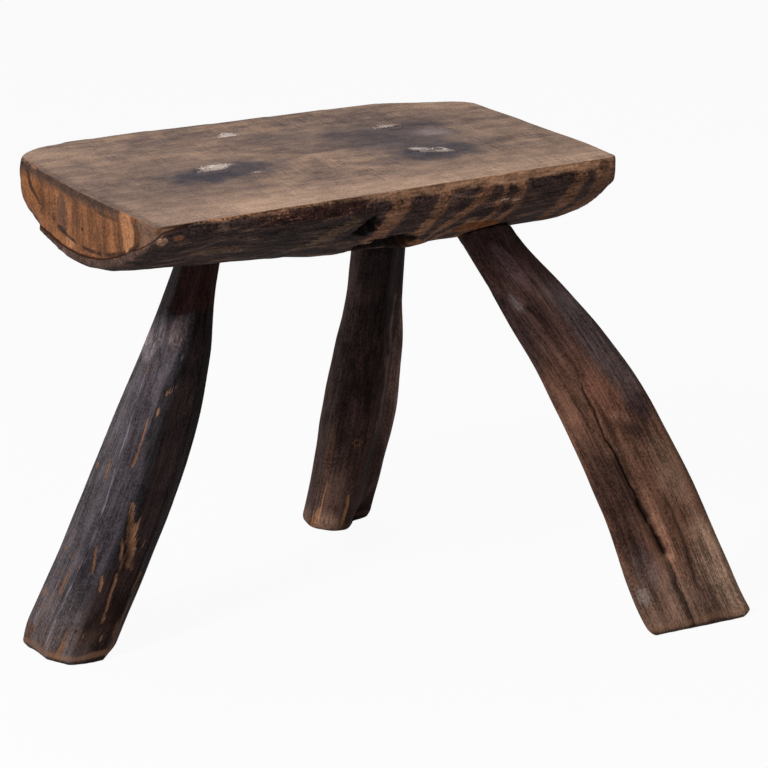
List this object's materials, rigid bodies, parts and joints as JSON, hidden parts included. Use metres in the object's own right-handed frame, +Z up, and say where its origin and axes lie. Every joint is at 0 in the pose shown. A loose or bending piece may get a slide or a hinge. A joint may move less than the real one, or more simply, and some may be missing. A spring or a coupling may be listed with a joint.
{
  "type": "three-legged stool",
  "caption": "Low hewn stool: a half-log seat with a flat top on splayed branch legs, whose tapered tenons go through the seat and are wedged flush.",
  "frame": {"origin": "on the floor, under the middle of the whole stool's footprint box", "axes": "+X along the seat's length towards the two-leg end, +Y across the seat towards the back leg, +Z up"},
  "size_m": [0.6018, 0.4316, 0.42],
  "materials": {
    "seat_wood": "worn bare wood, hewn, dark bark on the round side",
    "leg_wood": "dark weathered wood, hewn facets, worn edges",
    "wedge_wood": "pale worn end grain"
  },
  "bodies": {
    "root": {"seat": "seat_wood", "left_leg": "leg_wood", "front_leg": "leg_wood", "back_leg": "leg_wood", "left_wedge": "wedge_wood", "front_wedge": "wedge_wood", "back_wedge": "wedge_wood"}
  },
  "joints": []
}
